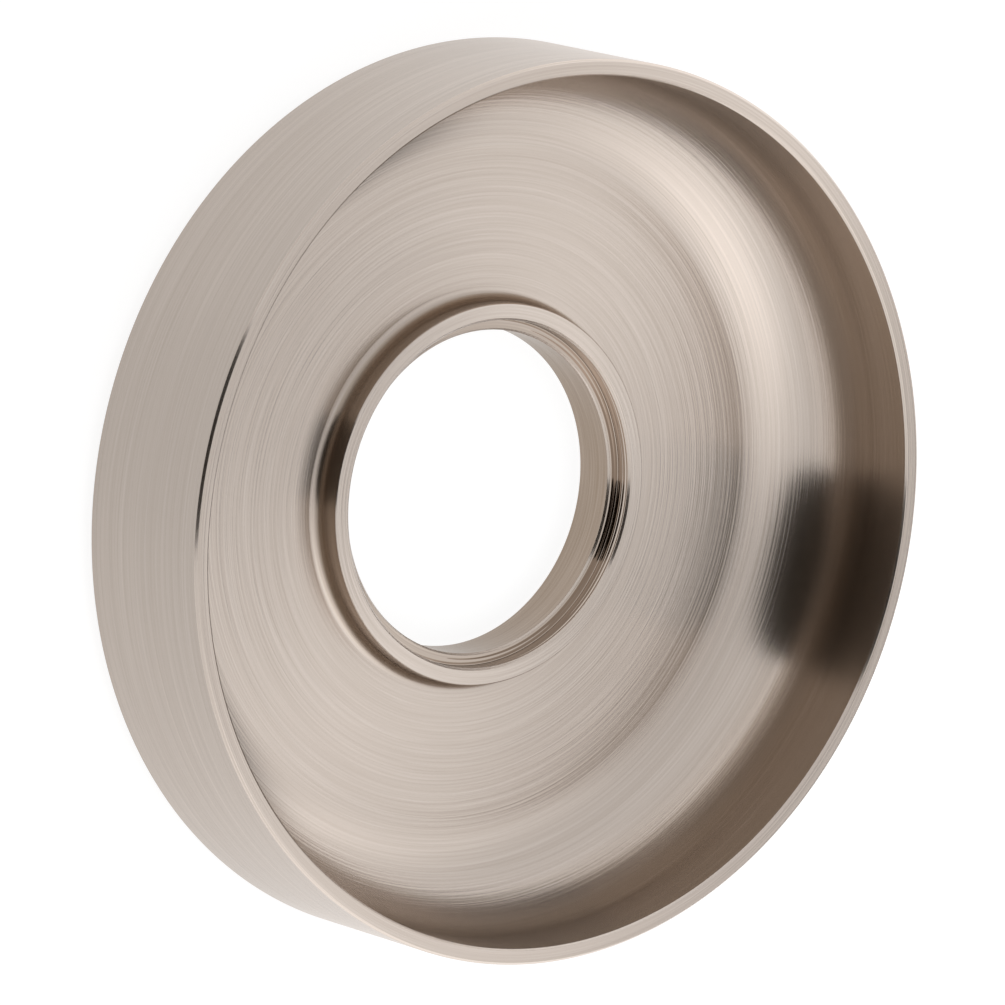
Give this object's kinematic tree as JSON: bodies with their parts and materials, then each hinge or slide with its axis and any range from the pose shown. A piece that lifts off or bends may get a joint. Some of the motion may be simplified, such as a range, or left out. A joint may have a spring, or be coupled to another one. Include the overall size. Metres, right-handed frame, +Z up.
{
  "type": "valve trim shroud",
  "caption": "Round dished trim shroud for a valve: thin outer wall, thick floor and a low central hub with a stepped through bore, in brushed nickel finish.",
  "frame": {"origin": "on the axis, in the plane of the flat ring round the bore that the shroud lies on", "axes": "+Z up along the bore's axis and out of the hollow side; X and Y are any two directions square to it"},
  "size_m": [0.0888, 0.0888, 0.0185],
  "materials": {
    "brushed_nickel": "warm brushed nickel over brass, with fine marks that run round the axis"
  },
  "bodies": {
    "root": {"shroud": "brushed_nickel"}
  },
  "joints": []
}
